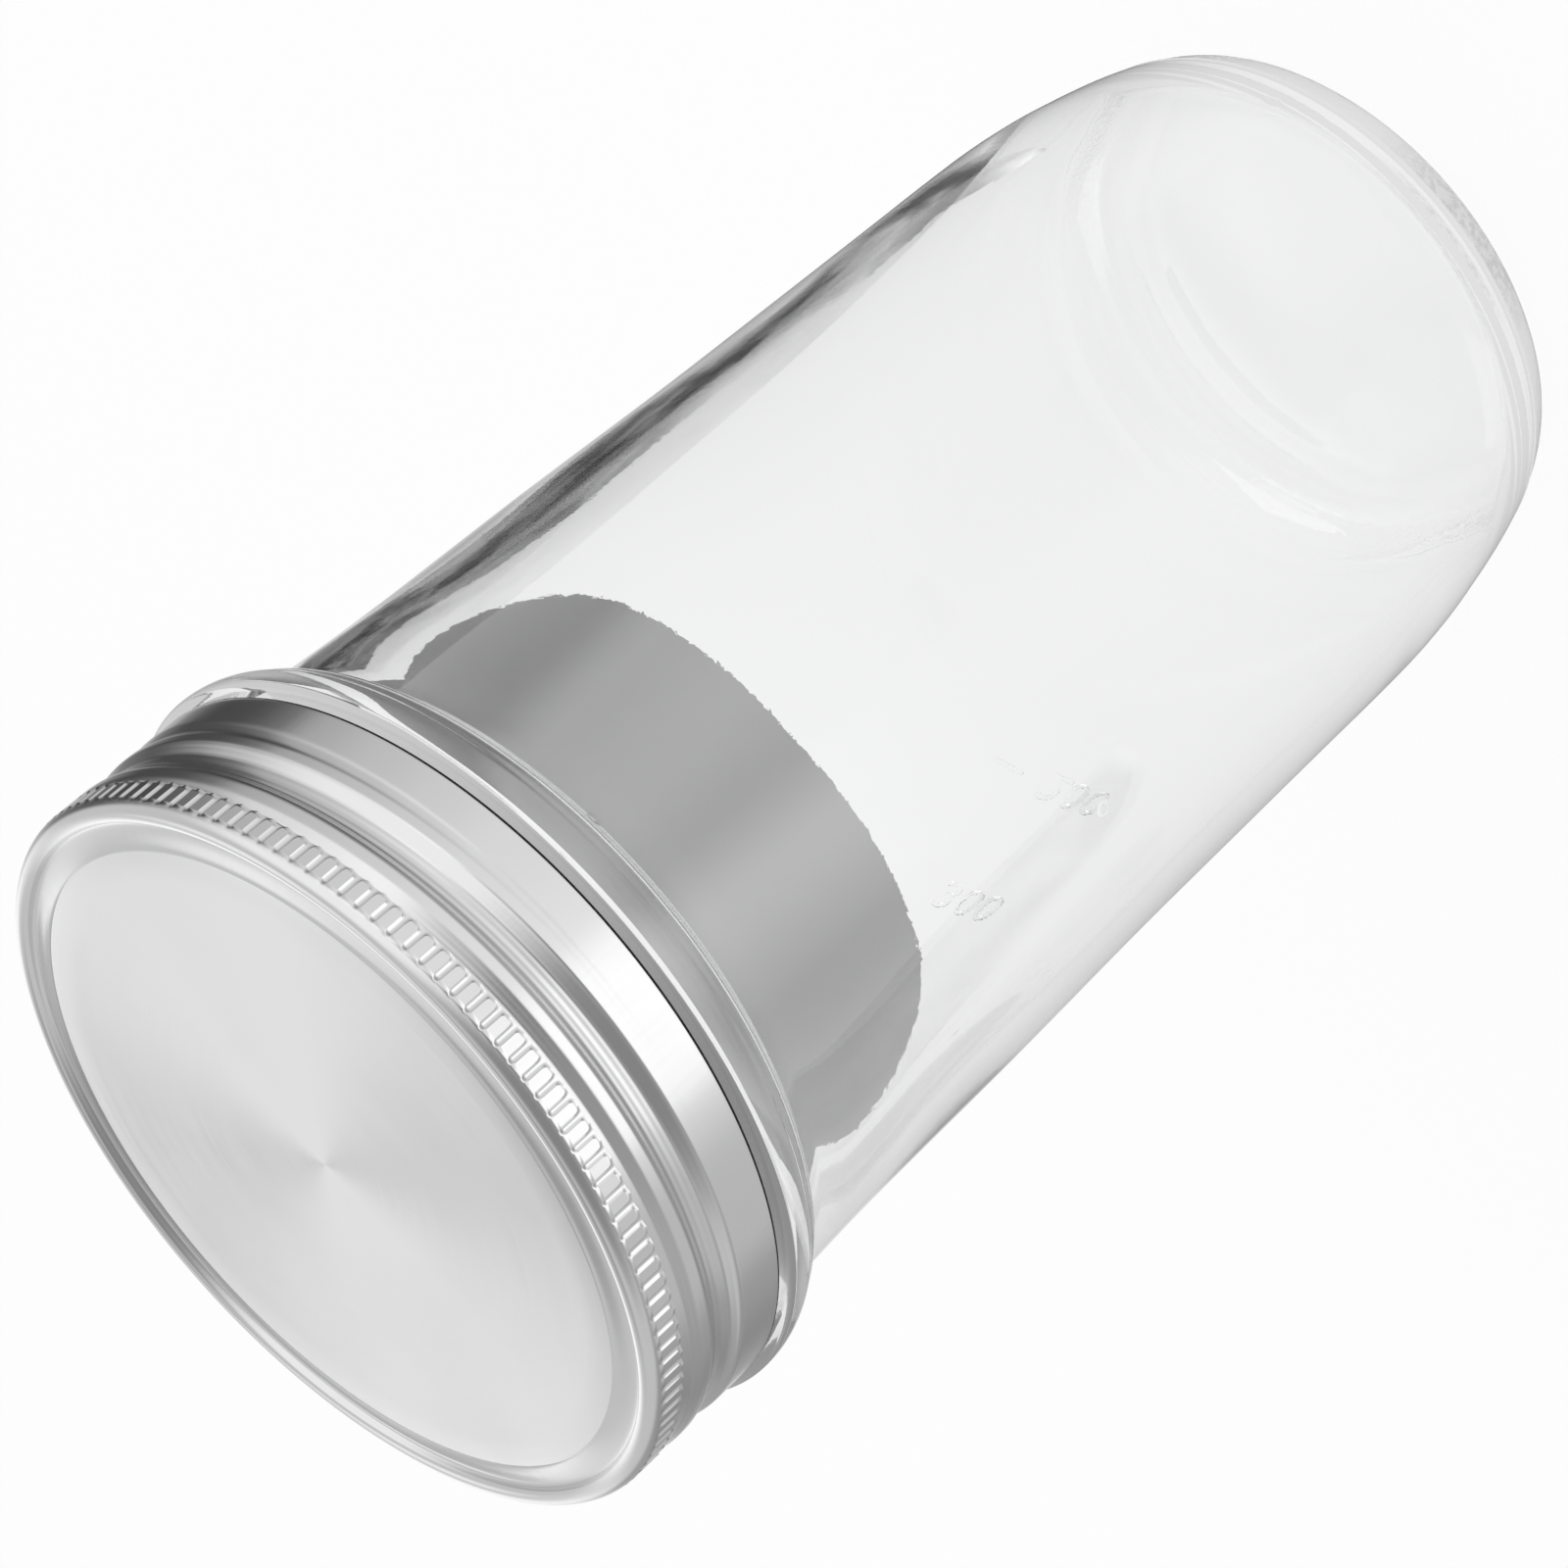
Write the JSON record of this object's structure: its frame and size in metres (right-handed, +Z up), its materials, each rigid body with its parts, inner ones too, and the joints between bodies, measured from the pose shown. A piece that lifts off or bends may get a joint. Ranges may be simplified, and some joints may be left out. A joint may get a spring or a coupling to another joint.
{
  "type": "salad jar",
  "caption": "Wide-mouth clear glass storage jar with a knurled stamped steel screw lid and an inner sealing ring, for salads and dry or wet food.",
  "frame": {"origin": "centre of the base, on the plane the jar stands on", "axes": "+Z up along the jar's axis; +X towards the camera of the picture; the lid's thread is right-handed about +Z"},
  "size_m": [0.0946, 0.0946, 0.1719],
  "materials": {
    "clear_glass": "polished",
    "seal_rubber": "matte",
    "lid_steel": "circular brushed"
  },
  "bodies": {
    "jar": {"glass_jar": "clear_glass"},
    "seal": {"sealing_ring": "seal_rubber"},
    "lid": {"screw_lid": "lid_steel"}
  },
  "joints": [
    {"name": "lid_lift", "type": "slide", "parent": "jar", "child": "seal", "axis": [0, 0, 1], "range_m": [0, 0.0254]},
    {"name": "lid_turn", "type": "hinge", "parent": "seal", "child": "lid", "pos_m": [0, 0, 0.1715], "axis": [0, 0, 1], "range_deg": [0, 1440]}
  ],
  "couplings": [
    {"joint": "lid_lift", "follows": "lid_turn", "m_per_rad": 0.0010106}
  ]
}
